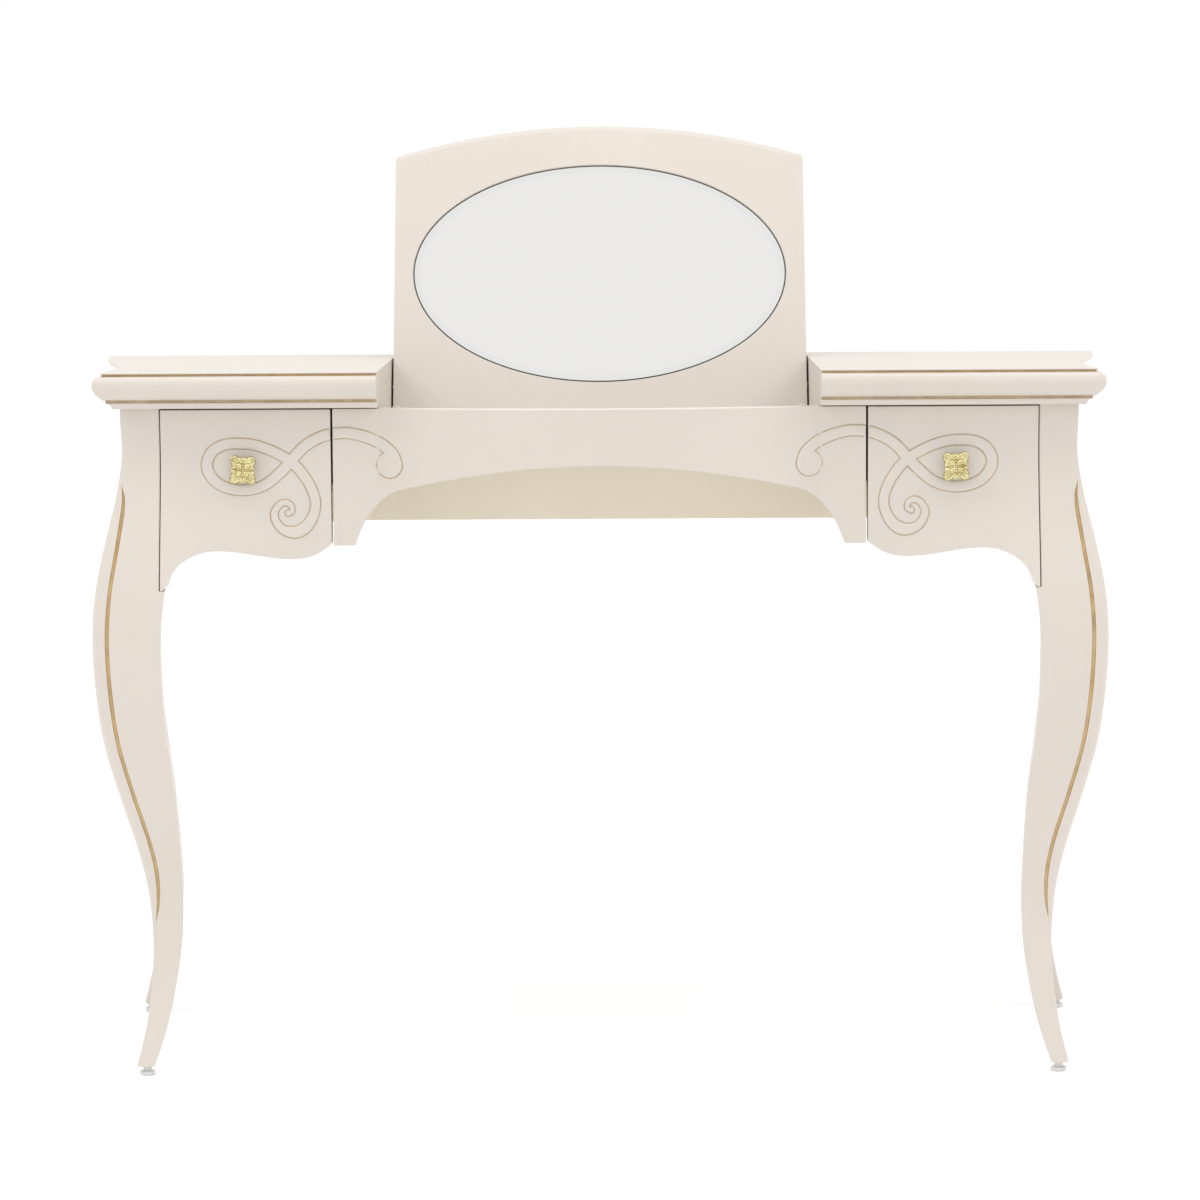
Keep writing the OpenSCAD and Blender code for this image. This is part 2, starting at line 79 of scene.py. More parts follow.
# Depth of the top from the gold line along its front edge, and of the waist behind that line
TOP_BACK = high("top_board_right", Y)
TOP_DEPTH = 408
EDGE_Y = TOP_BACK - TOP_DEPTH
RETURN = 130
MOULDING_D = 30
# Flat front face of the legs, drawers and apron
FACE_Y = EDGE_Y + 21
FRONT_BACK_Y = FACE_Y + 20
# Legs: their middles at the front face, the angle that the rows of legs spread at, and blocks
LEG_X = 528.5
FLARE = math.radians(5.43)
LEG_BACK_Y = EDGE_Y + 382
FOOT_Z = low("leg_front_right", Z)
BLOCK_W = 43
BLOCK_D = 50
SHOULDER_Z = 552
# Front bow of the lid and apron: its rise over the opening, and its radius
BOW = 39
ARC_R = (OPENING ** 2 + BOW ** 2) / (2 * BOW)
APRON_T = 22
APRON_HALF = high("centre_apron", X)
APRON_TOP = high("centre_apron", Z)
APRON_FOOT = 599.5
DRAWER_IN = low("drawer_front_right", X)
DRAWER_OUT = high("drawer_front_right", X)
DRAWER_TOP = high("drawer_front_right", Z)
KNOB_X = middle("knob_right", X)
KNOB_Z = middle("knob_right", Z)
# Lid, described closed and then turned up about its pivots
PIVOT_Y = EDGE_Y + 289
PIVOT_Z = middle("pivot_pin_right", Z)
LID_TURN = math.radians(-112)
LID_HALF = high("lid_panel", X)
LID_UNDER = PIVOT_Z - 6
TAIL_Y = PIVOT_Y + 47
LID_ARC_Y = EDGE_Y + ARC_R - BOW
LID_STEPS = 48
MIRROR_BOARD_T = 12
MIRROR_Y = PIVOT_Y - 139.6
MIRROR_A = high("mirror_glass", X)
MIRROR_B = 135
MIRROR_STEPS = 160
POCKET_D = 5

# Sweep of a leg's outer faces and of its inner faces, as (height, distance) from its middle line
LEG_BULGE = [(800, 0), (740, 0), (700, -1), (660, 5), (600, 20), (550, 30.4), (500, 34.4),
             (440, 32), (380, 24.1), (320, 8.6), (260, -8.9), (205, -20.8), (150, -25), (100, -22.4),
             (60, -17.2), (30, -10.3), (11, -5)]
LEG_INSET = [(560, 48), (540, 44.2), (500, 40.2), (430, 41.1), (375, 46.5), (320, 53.2),
             (260, 57.1), (205, 59.3), (150, 57.7), (100, 50.1), (60, 41.1), (30, 31.7), (11, 24.5)]
# The back legs' knees stand further out, and lack a share of the sweep towards the wall
REAR_SHIFT = [(800, 0), (600, 0), (560, 1), (530, 3.5), (500, 6), (440, 9.5), (380, 13), (320, 13.2),
              (260, 10.2), (205, 7), (150, 3.6), (100, 1.6), (60, 1), (30, 0.5), (11, 0)]
REAR_EASE = 0.3
# Distance of a leg's gold groove from the outer corner, its width and its full depth
GROOVE_INSET = [(760, 1.5), (700, 2), (668, 4), (652, 7.5), (607, 12), (560, 13.8), (480, 14.2),
                (400, 14.2), (320, 14.2), (265, 14), (235, 12.8), (207, 9.5), (172, 4.5), (140, 2.4),
                (80, 1.6), (11, 1.5)]
GROOVE_WIDTH = [(760, 0), (669, 0), (655, 3.2), (640, 4.4), (300, 4.4), (215, 4.2), (190, 3), (171, 0),
                (11, 0)]
GROOVE_DIP = 1.3


def curve(stations, z):
    """Smooth curve through falling stations, read at height z."""
    z = min(stations[0][0], max(stations[-1][0], z))
    i = next(k for k in range(len(stations) - 1) if z >= stations[k + 1][0])

    def slope(k):
        a, b = max(k - 1, 0), min(k + 1, len(stations) - 1)
        return (stations[b][1] - stations[a][1]) / (stations[b][0] - stations[a][0])
    h = stations[i + 1][0] - stations[i][0]
    t = (z - stations[i][0]) / h
    a, b = stations[i][1], stations[i + 1][1]
    p, q = slope(i) * h, slope(i + 1) * h
    return a + p * t + (3 * (b - a) - 2 * p - q) * t ** 2 + (2 * (a - b) + p + q) * t ** 3


def straight(stations, z):
    """Straight lines through falling stations, read at height z."""
    for (za, a), (zb, b) in zip(stations, stations[1:]):
        if z >= zb:
            return a + (b - a) * (z - za) / (zb - za)
    return stations[-1][1]


def cubic(a, b, c, d, n):
    """n + 1 points along a Bezier curve."""
    run = []
    for k in range(n + 1):
        t = k / n
        w = ((1 - t) ** 3, 3 * t * (1 - t) ** 2, 3 * t * t * (1 - t), t ** 3)
        run.append(tuple(sum(w[m] * p[j] for m, p in enumerate((a, b, c, d))) for j in (0, 1)))
    return run


def smooth_step(t):
    t = min(1, max(0, t))
    return t * t * (3 - 2 * t)


# ---- Materials -------------------------------------------------------------------------
def new_material(name):
    mat = bpy.data.materials.new(name)
    mat.use_nodes = True
    return mat, mat.node_tree, mat.node_tree.nodes["Principled BSDF"]


BUMP_DEPTH = 0.0004
GLOSS_SPREAD = 0.15


def speckled(name, light, dark, scale, roughness, metallic=0.0, coat=0.0, grain=(1, 1, 1), bump=0.1,
             bump_scale=400.0):
    """A material whose colour drifts between two tones, with a fine bump and uneven gloss."""
    mat, tree, shader = new_material(name)
    coords = tree.nodes.new("ShaderNodeTexCoord")
    stretch = tree.nodes.new("ShaderNodeMapping")
    stretch.inputs["Scale"].default_value = grain
    drift = tree.nodes.new("ShaderNodeTexNoise")
    drift.inputs["Scale"].default_value = scale
    drift.inputs["Detail"].default_value = 6
    ramp = tree.nodes.new("ShaderNodeValToRGB")
    ramp.color_ramp.elements[0].position = 0.3
    ramp.color_ramp.elements[1].position = 0.7
    ramp.color_ramp.elements[0].color = (*dark, 1)
    ramp.color_ramp.elements[1].color = (*light, 1)
    gloss = tree.nodes.new("ShaderNodeMapRange")
    gloss.inputs["To Min"].default_value = roughness * (1 - GLOSS_SPREAD)
    gloss.inputs["To Max"].default_value = roughness * (1 + GLOSS_SPREAD)
    fine = tree.nodes.new("ShaderNodeTexNoise")
    fine.inputs["Scale"].default_value = bump_scale
    fine.inputs["Detail"].default_value = 3
    bumps = tree.nodes.new("ShaderNodeBump")
    bumps.inputs["Strength"].default_value = bump
    bumps.inputs["Distance"].default_value = BUMP_DEPTH
    link = tree.links.new
    link(coords.outputs["Object"], stretch.inputs["Vector"])
    link(stretch.outputs["Vector"], drift.inputs["Vector"])
    link(stretch.outputs["Vector"], fine.inputs["Vector"])
    link(drift.outputs["Fac"], ramp.inputs["Fac"])
    link(ramp.outputs["Color"], shader.inputs["Base Color"])
    link(drift.outputs["Fac"], gloss.inputs["Value"])
    link(gloss.outputs["Result"], shader.inputs["Roughness"])
    link(fine.outputs["Fac"], bumps.inputs["Height"])
    link(bumps.outputs["Normal"], shader.inputs["Normal"])
    shader.inputs["Metallic"].default_value = metallic
    shader.inputs["Coat Weight"].default_value = coat
    shader.inputs["Coat Roughness"].default_value = 0.25
    return mat


LACQUER = speckled("ivory_lacquer", (0.610, 0.557, 0.500), (0.588, 0.535, 0.479), 5, 0.42, coat=0.15,
                   grain=(1, 3, 1), bump=0.12, bump_scale=260)
PANEL = speckled("grey_panel", (0.76, 0.71, 0.59), (0.73, 0.68, 0.56), 7, 0.5, bump=0.1)
GOLD_PAINT = speckled("gold_line", (0.56, 0.41, 0.21), (0.42, 0.29, 0.14), 60, 0.38, metallic=0.35,
                      bump=0.35, bump_scale=900)
BROWN_PAINT = speckled("engraved_line", (0.50, 0.38, 0.24), (0.36, 0.26, 0.16), 80, 0.55,
                       metallic=0.1, bump=0.3, bump_scale=900)
WOOD = speckled("pale_wood", (0.66, 0.50, 0.32), (0.52, 0.37, 0.22), 6, 0.6, grain=(14, 1.2, 14),
                bump=0.3, bump_scale=60)
GOLD = speckled("polished_gold", (0.68, 0.61, 0.34), (0.50, 0.43, 0.20), 90, 0.18, metallic=1.0,
                bump=0.15, bump_scale=500)
BRASS = speckled("brass_bush", (0.80, 0.62, 0.30), (0.68, 0.50, 0.22), 120, 0.3, metallic=1.0)
STEEL = speckled("zinc_steel", (0.15, 0.15, 0.155), (0.11, 0.11, 0.115), 90, 0.5, metallic=1.0,
                 grain=(4, 1, 4), bump=0.2)
GLIDE = speckled("pale_glide", (0.66, 0.65, 0.63), (0.58, 0.57, 0.55), 120, 0.4, bump=0.2)
FELT = speckled("bumper_felt", (0.70, 0.68, 0.62), (0.58, 0.56, 0.50), 400, 0.95, bump=0.6,
                bump_scale=1500)
SILVER = speckled("silvered_glass", (0.835, 0.83, 0.815), (0.825, 0.82, 0.805), 3, 0.03, metallic=1.0,
                  bump=0.01, bump_scale=8)
BEVEL = speckled("silvered_bevel", (0.80, 0.80, 0.785), (0.79, 0.79, 0.775), 3, 0.03, metallic=1.0,
                 bump=0.01, bump_scale=8)
EDGE_DARK = speckled("glass_edge", (0.16, 0.20, 0.19), (0.09, 0.12, 0.11), 60, 0.25, bump=0.05)


# ---- Mesh helpers ----------------------------------------------------------------------
def soften(obj, width, segments, angle):
    """A bevel of this width in millimetres on edges sharper than the angle."""
    bevel = obj.modifiers.new("arris", "BEVEL")
    bevel.width = width * MM
    bevel.segments = segments
    bevel.limit_method = "ANGLE"
    bevel.angle_limit = math.radians(angle)
    return bevel


def build(name, verts, faces, mats, marks=None, arris=0.0, angle=40, side=1):
    """A mesh piece from points in millimetres, marks giving each face's material.

    side -1 mirrors it to the left.
    """
    mesh = bpy.data.meshes.new(name)
    mesh.from_pydata([(side * x * MM, y * MM, z * MM) for x, y, z in verts], [], faces)
    for mat in mats:
        mesh.materials.append(mat)
    if marks:
        for face, mark in zip(mesh.polygons, marks):
            face.material_index = mark
    obj = bpy.data.objects.new(name, mesh)
    bpy.context.scene.collection.objects.link(obj)
    bpy.context.view_layer.objects.active = obj
    bpy.ops.object.select_all(action="DESELECT")
    obj.select_set(True)
    bpy.ops.object.mode_set(mode="EDIT")
    bpy.ops.mesh.select_all(action="SELECT")
    bpy.ops.mesh.remove_doubles(threshold=1e-6)
    bpy.ops.mesh.normals_make_consistent(inside=False)
    bpy.ops.object.mode_set(mode="OBJECT")
    bpy.ops.object.shade_smooth_by_angle(angle=math.radians(angle))
    if arris:
        soften(obj, arris, 3, angle).harden_normals = True
    return obj


def stack(rings, ring_marks=None):
    """Quads between rings of points, and a face that closes each end."""
    n = len(rings[0])
    verts = [p for ring in rings for p in ring]
    faces, marks = [], []
    for r in range(len(rings) - 1):
        for k in range(n):
            m = (k + 1) % n
            faces.append((r * n + k, r * n + m, (r + 1) * n + m, (r + 1) * n + k))
            marks.append(ring_marks(r, k) if ring_marks else 0)
    faces.append(tuple(range(n)))
    faces.append(tuple((len(rings) - 1) * n + k for k in range(n)))
    return verts, faces, marks + [0, 0]


def fit(obj, body, slot, *replaced):
    """Hang a piece on the body it rides on and hide the frame nodes it replaces; slot, what it is made of,
    is not used.
    """
    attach(obj, body)
    if replaced:
        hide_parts(*replaced)


# ---- Legs ------------------------------------------------------------------------------
CORNER_POWER = 0.55
CORNER_STEPS = 8
INNER_SOFT = 1.2
# Strips of the section that lie in its two grooves
GROOVE_STRIPS = {2, 3, 4, 13, 14, 15}


def leg_ring(z, depth_in, width_in):
    """Section of a leg at height z as (outwards, forwards), with a groove on each side of its corner."""
    b = curve(LEG_BULGE, z)
    inset = curve(GROOVE_INSET, z)
    width = straight(GROOVE_WIDTH, z)
    dip = GROOVE_DIP * min(1, width / 2)
    lip = 0.15 * width
    edge = inset + width
    # A hair's breadth keeps the groove's points apart where it has no width
    hair = 0.01
    groove = [(b - edge - hair, b), (b - edge + lip, b - dip), (b - inset - lip - hair, b - dip),
              (b - inset, b)]
    corner = []
    for k in range(1, CORNER_STEPS):
        a = math.radians(90 - 90 * k / CORNER_STEPS)
        corner.append((b - inset + inset * math.cos(a) ** CORNER_POWER,
                       b - inset + inset * math.sin(a) ** CORNER_POWER))
    mirrored = [(v, u) for u, v in reversed(groove)]
    soft = INNER_SOFT
    return ([(-width_in, b - soft), (-width_in + soft, b)] + groove + corner + mirrored
            + [(b, -depth_in + soft), (b - soft, -depth_in), (-width_in + soft, -depth_in),
               (-width_in, -depth_in + soft)])


def leg(kind, side):
    """A cabriole leg: swept up to its shoulder, and a block above that."""
    rear = kind == "rear"
    y0 = LEG_BACK_Y if rear else FACE_Y
    x0 = LEG_X + math.tan(FLARE) * (y0 - FACE_Y)
    clearance = 0.1
    top = BOARD_UNDER - clearance if rear else MOULDING_UNDER
    steps = 190
    heights = [FOOT_Z + (SHOULDER_Z - FOOT_Z) * k / steps for k in range(steps + 1)]
    rings = [leg_ring(z, curve(LEG_INSET, z), curve(LEG_INSET, z)) for z in heights]
    block_foot = SHOULDER_Z + 0.8
    block_steps = 64
    upper = [block_foot + (top - block_foot) * k / block_steps for k in range(block_steps + 1)]
    rings += [leg_ring(z, BLOCK_D, BLOCK_W) for z in upper]
    heights += upper
    placed = []
    for z, ring in zip(heights, rings):
        row = []
        for u, v in ring:
            if rear:
                b = curve(LEG_BULGE, z)
                # Above the shoulder the easing fades out towards the block's inner face
                reach = 1 if z <= SHOULDER_Z else min(1, 1.5 * (v + BLOCK_D) / (b + BLOCK_D))
                u, v = u + curve(REAR_SHIFT, z), v - REAR_EASE * b * reach
            y = y0 + (v if rear else -v)
            x = x0 + u / math.cos(FLARE) + math.tan(FLARE) * (y - y0)
            if not rear and z > SHOULDER_Z and u < -BLOCK_W / 2:
                x = x0 + u
            row.append((x, y, z))
        placed.append(row)

    def mark(r, k):
        z = (heights[r] + heights[r + 1]) / 2
        return 1 if k in GROOVE_STRIPS and straight(GROOVE_WIDTH, z) > 0.25 else 0
    verts, faces, marks = stack(placed, mark)
    name = f"leg_{kind}_{'right' if side > 0 else 'left'}"
    obj = build(f"{name}_shaped", verts, faces, [LACQUER, GOLD_PAINT], marks, angle=32, side=side)
    fit(obj, "table", "lacquer", name)


# ---- Aprons and drawer fronts ----------------------------------------------------------
# Lower edges as (x, z): half of the apron's arch, and the drawer from its outer tail inwards
ARCH = (cubic((271, APRON_FOOT), (262, 628), (243, 659), (212, 663.2), 18)
        + cubic((212, 663.2), (170, 673), (95, 689), (0, 689.3), 28)[1:])
DRAWER_EDGE = (cubic((DRAWER_OUT, 552.6), (482.5, 552.7), (480.4, 553.2), (480, 555.5), 4)
               + cubic((480, 555.5), (477.6, 570.4), (457, 595.3), (424, 595.3), 20)[1:]
               + cubic((424, 595.3), (396, 595.3), (368, 585), (339, 584.8), 20)[1:]
               + cubic((339, 584.8), (322, 584.8), (310, 590), (DRAWER_IN, 601.4), 14)[1:])


def face_forward(x, z):
    """How far the front of the drawers and apron stands forward of the flat face."""
    x = abs(x)
    if x >= DRAWER_IN:
        return curve(LEG_BULGE, z) * smooth_step((x - DRAWER_IN) / (DRAWER_OUT - DRAWER_IN))
    if x >= OPENING:
        return 0
    return math.sqrt(ARC_R ** 2 - x * x) - (ARC_R - BOW)


def fronted(name, lower, top, back, rows=44, side=1):
    """A panel whose front follows face_forward() between a lower edge and a level top."""
    cols = len(lower)
    verts, faces = [], []
    for is_back in (False, True):
        for x, z0 in lower:
            for r in range(rows + 1):
                z = z0 + (top - z0) * r / rows
                verts.append((x, back(x) if is_back else FACE_Y - face_forward(x, z), z))
    n = rows + 1
    flip = cols * n
    for c in range(cols - 1):
        for r in range(rows):
            a = c * n + r
            faces.append((a, a + n, a + n + 1, a + 1))
            faces.append((flip + a, flip + a + 1, flip + a + n + 1, flip + a + n))
        for r in (0, rows):
            a = c * n + r
            faces.append((a, a + n, flip + a + n, flip + a))
    for c in (0, cols - 1):
        for r in range(rows):
            a = c * n + r
            faces.append((a, a + 1, flip + a + 1, flip + a))
    return build(name, verts, faces, [LACQUER], arris=0.7, angle=45, side=side)


def centre_apron():
    half = [(x, APRON_FOOT) for x in (APRON_HALF, 288, 282, 276)] + ARCH
    whole = half + [(-x, z) for x, z in reversed(half[:-1])]
    inner_r = ARC_R - APRON_T

    def back(x):
        if abs(x) >= OPENING:
            return FACE_Y + APRON_T
        return FACE_Y + ARC_R - BOW - math.sqrt(inner_r ** 2 - x * x)
    fit(fronted("centre_apron_bowed", whole, APRON_TOP, back), "table", "lacquer", "centre_apron")


def drawer_front(side, word):
    obj = fronted(f"drawer_front_{word}_swelled", DRAWER_EDGE, DRAWER_TOP, lambda x: FRONT_BACK_Y,
                  side=side)
    fit(obj, f"drawer_{word}", "lacquer", f"drawer_front_{word}")


# ---- Scroll relief ---------------------------------------------------------------------
# Middle line of the scroll as (x, z, width): end curl, arm, loop, and the lower spiral
SCROLL = [(225, 693.2, 13), (226.6, 698.6, 13), (231.2, 704.6, 12.4), (238, 710.4, 12.2),
          (245.5, 714.8, 12.2), (258, 720, 12.2), (277, 724.3, 12),
          (297, 723, 12), (313, 717.5, 12), (327, 708.3, 12), (341, 693.2, 12), (353, 680.5, 11.8),
          (371, 666.8, 11.6), (394.7, 661.8, 11.4), (417, 667, 11.6), (430, 679, 12), (433.2, 692, 12.2),
          (427, 704.5, 12), (415, 711.5, 11.7), (399.5, 713.3, 11.6), (381, 711.5, 11.4),
          (360, 704.3, 11.4), (341, 693.2, 11.4), (329.5, 681.5, 11.2), (319.5, 666, 11), (314.2, 650, 10.8),
          (315.6, 636, 11), (324, 621.5, 12.5), (336, 615, 13), (349, 617.5, 10), (357, 626, 8.5),
          (359.4, 636, 8), (354, 645.2, 7), (346.5, 647.7, 6.6), (340.4, 643.6, 6), (340.2, 637.8, 5.5),
          (344, 635.8, 5)]
# Round bosses as (x, z, radius): in the end curl and in the eye of the spiral
CURL = (231.5, 689, 14.3)
EYE = (344, 636, 3.4)
# Height of the relief, width of the brown line around it, and how far its base is sunk
RELIEF = 1.3
LINE = 0.95
SUNK = -0.5
SPLINE_STEPS = 10


def spline(points, n):
    """Smooth curve through points of any length, n steps to each stretch."""
    run = []
    for i in range(len(points) - 1):
        a, b = points[max(i - 1, 0)], points[i]
        c, d = points[i + 1], points[min(i + 2, len(points) - 1)]
        for k in range(n):
            t = k / n
            run.append(tuple(0.5 * (2 * q + (r - p) * t + (2 * p - 5 * q + 4 * r - s) * t * t
                                    + (3 * q - p - 3 * r + s) * t ** 3)
                             for p, q, r, s in zip(a, b, c, d)))
    return run + [points[-1]]


def ribbon_section(width):
    """Across the ribbon: (sideways, height, material of the strip that follows)."""
    w = width / 2
    half = [(-w - LINE, SUNK, 1), (-w - LINE, 0.06, 1), (-w, 0.04, 1), (-w + 0.15, 0.35, 0),
            (-w + 0.7, RELIEF * 0.82, 0), (-w + 1.6, RELIEF, 0), (-w * 0.4, RELIEF + 0.15, 0)]
    mirrored = [(-s, h) for s, h, _ in reversed(half)]
    marks = [m for _, _, m in half] + [0, 0, 0, 1, 1, 1]
    return [(s, h) for s, h, _ in half] + mirrored, marks


def on_face(x, z, height):
    return (x, FACE_Y - face_forward(x, z) - height, z)


def scroll(side, word, part):
    """The part of the scroll on the drawer or on the apron, as one carved ribbon."""
    path = spline(SCROLL, SPLINE_STEPS)
    # The relief stops this far inside the edge of its drawer or apron
    margin = 0.3
    reach = 0.2
    if part == "drawer":
        keep = [i for i, p in enumerate(path) if p[0] > DRAWER_IN + reach]
    else:
        keep = [i for i, p in enumerate(path) if p[0] < APRON_HALF - reach]
    verts, faces, marks = [], [], []
    for i in keep:
        x, z, width = path[i]
        a, b = path[max(i - 1, 0)], path[min(i + 1, len(path) - 1)]
        run = Vector((b[0] - a[0], b[1] - a[1])).normalized()
        across, strip_marks = ribbon_section(width)
        ring = []
        for s, h in across:
            px, pz = x - run.y * s, z + run.x * s
            if part == "drawer":
                px = max(px, DRAWER_IN + margin)
            else:
                px = min(px, APRON_HALF - margin)
            ring.append(on_face(px, pz, h))
        n = len(ring)
        verts += ring
        base = len(verts) - 2 * n
        if base >= 0:
            for k in range(n - 1):
                faces.append((base + k, base + k + 1, base + n + k + 1, base + n + k))
                marks.append(strip_marks[k])
            faces.append((base, base + n, base + 2 * n - 1, base + n - 1))
            marks.append(0)
    faces += [tuple(range(n)), tuple(len(verts) - n + k for k in range(n))]
    marks += [0, 0]
    add_disc(verts, faces, marks, *(CURL if part == "apron" else EYE))
    obj = build(f"scroll_{part}_{word}", verts, faces, [LACQUER, BROWN_PAINT], marks, angle=50, side=side)
    fit(obj, f"drawer_{word}" if part == "drawer" else "table", "lacquer")


def add_disc(verts, faces, marks, cx, cz, radius, n=48):
    """A round boss with the ribbon's edge, added to the lists."""
    start = len(verts)
    outside = [(radius + LINE, SUNK), (radius + LINE, 0.06), (radius, 0.04), (radius - 0.15, 0.35),
               (radius - 0.7, RELIEF * 0.82), (radius - 1.6, RELIEF), (radius * 0.4, RELIEF + 0.22)]
    strip_marks = [1, 1, 1, 0, 0, 0]
    for r, h in outside:
        for k in range(n):
            a = 2 * math.pi * k / n
            verts.append(on_face(cx + r * math.cos(a), cz + r * math.sin(a), h))
    for i in range(len(outside) - 1):
        for k in range(n):
            m = (k + 1) % n
            faces.append((start + i * n + k, start + i * n + m, start + (i + 1) * n + m,
                          start + (i + 1) * n + k))
            marks.append(strip_marks[i])
    faces.append(tuple(start + k for k in range(n)))
    faces.append(tuple(start + (len(outside) - 1) * n + k for k in range(n)))
    marks.extend([0, 0])


# ---- Top -------------------------------------------------------------------------------
# Section of the edge as (outwards, down): groove, bead, lower groove and cavetto
GROOVE = [(0, 0), (0, -0.8), (-1.6, -1.2), (-1.6, -3.0), (0, -3.3)]
BEAD_STEPS = 18
EDGE = (GROOVE + cubic((0, -3.3), (9, -3), (13, -19), (-2.2, -29.4), BEAD_STEPS)[1:]
        + [(-4.8, -29.9), (-4.8, -32.3), (-4.2, -32.8)]
        + cubic((-4.2, -32.8), (-7, -33), (-10.5, -35.5), (-10.8, -39.5), 8)[1:])
# Strips of that section that are painted, gold above the bead and brown below it
GOLD_STRIPS = {1, 2, 3}
BROWN_START = len(GROOVE) + BEAD_STEPS - 1
BROWN_STRIPS = {BROWN_START, BROWN_START + 1, BROWN_START + 2}
# Plan of the top's end behind the waist as (half width, depth), and its undercut section
END_PLAN = (cubic((WAIST_HALF, RETURN), (547, 175), (570, 262), (577, 312), 8)
            + cubic((577, 312), (580, 333), (585, 375), (BACK_HALF, TOP_DEPTH), 5)[1:])
NOSE = [(0, 0), (1, -0.8), (1.4, -2.2), (0.6, -3.8), (-2.5, -5.4), (-7, -7.4), (-11, -10),
        (-13.5, -13.5), (-14, -17), (-14, -20)]


def edge_moulding(side, word):
    """The edge's section run along the front and back along the end to the waist."""
    section = [(-MOULDING_D, 0)] + EDGE + [(-MOULDING_D, EDGE[-1][1])]
    path = [(OPENING, 0), (FRONT_HALF, 0), (WAIST_HALF, RETURN)]
    end_dir = Vector((WAIST_HALF - FRONT_HALF, RETURN)).normalized()
    out_end = Vector((end_dir.y, -end_dir.x))
    out_front = Vector((0, -1))
    miter = (out_end + out_front) / (1 + out_end.dot(out_front))
    level_end = Vector((1, 0)) / out_end.x
    rings = []
    for (x, y), out in zip(path, (out_front, miter, level_end)):
        rings.append([(x + out.x * o, EDGE_Y + y + out.y * o, TOP + d) for o, d in section])

    def mark(r, k):
        if k - 1 in GOLD_STRIPS:
            return 1
        return 2 if k - 1 in BROWN_STRIPS else 0
    verts, faces, marks = stack(rings, mark)
    name = f"edge_moulding_{word}"
    obj = build(f"{name}_run", verts, faces, [LACQUER, GOLD_PAINT, BROWN_PAINT], marks, angle=35,
                side=side)
    fit(obj, "table", "lacquer", name)


def top_board(side, word):
    """The board inside the moulding, and its flared end behind the waist."""
    slope = (FRONT_HALF - WAIST_HALF) / RETURN
    inner = MOULDING_D / math.cos(math.atan(slope))
    rings = []
    for o, d in NOSE:
        rings.append([(OPENING, EDGE_Y + MOULDING_D, TOP + d),
                      (FRONT_HALF - slope * MOULDING_D - inner, EDGE_Y + MOULDING_D, TOP + d),
                      (WAIST_HALF - inner, EDGE_Y + RETURN, TOP + d)]
                     + [(x + o, EDGE_Y + y, TOP + d) for x, y in END_PLAN]
                     + [(OPENING, TOP_BACK, TOP + d)])
    verts, faces, marks = stack(rings)
    name = f"top_board_{word}"
    obj = build(f"{name}_shaped", verts, faces, [LACQUER], marks, angle=35, side=side)
    fit(obj, "table", "lacquer", name)


# ---- Lid -------------------------------------------------------------------------------
RAISE = (Matrix.Translation((0, PIVOT_Y, PIVOT_Z)) @ Matrix.Rotation(LID_TURN, 4, "X")
         @ Matrix.Translation((0, -PIVOT_Y, -PIVOT_Z)))


def lift(points):
    """Turn points of the closed lid up to where it is raised."""
    return [tuple(RAISE @ Vector(p)) for p in points]


def lid_outline(out, z):
    """The lid's plan at one height, with its bowed front moved outwards."""
    r = ARC_R + out
    ring = []
    for k in range(LID_STEPS + 1):
        x = -LID_HALF + 2 * LID_HALF * k / LID_STEPS
        ring.append((x, LID_ARC_Y - math.sqrt(r * r - x * x), z))
    return ring + [(LID_HALF, TAIL_Y, z), (-LID_HALF, TAIL_Y, z)]


def lid_panel():
    edge = GROOVE + cubic((0, -3.3), (8.5, -3.2), (12, -13), (-1, -27), 16)[1:]
    rings = [lift(lid_outline(o, TOP + d)) for o, d in edge]

    def mark(r, k):
        return 1 if r in GOLD_STRIPS and k < LID_STEPS else 0
    verts, faces, marks = stack(rings, mark)
    obj = build("lid_panel_beaded", verts, faces, [LACQUER, GOLD_PAINT], marks, angle=35)
    fit(obj, "lid", "lacquer", "lid_panel")


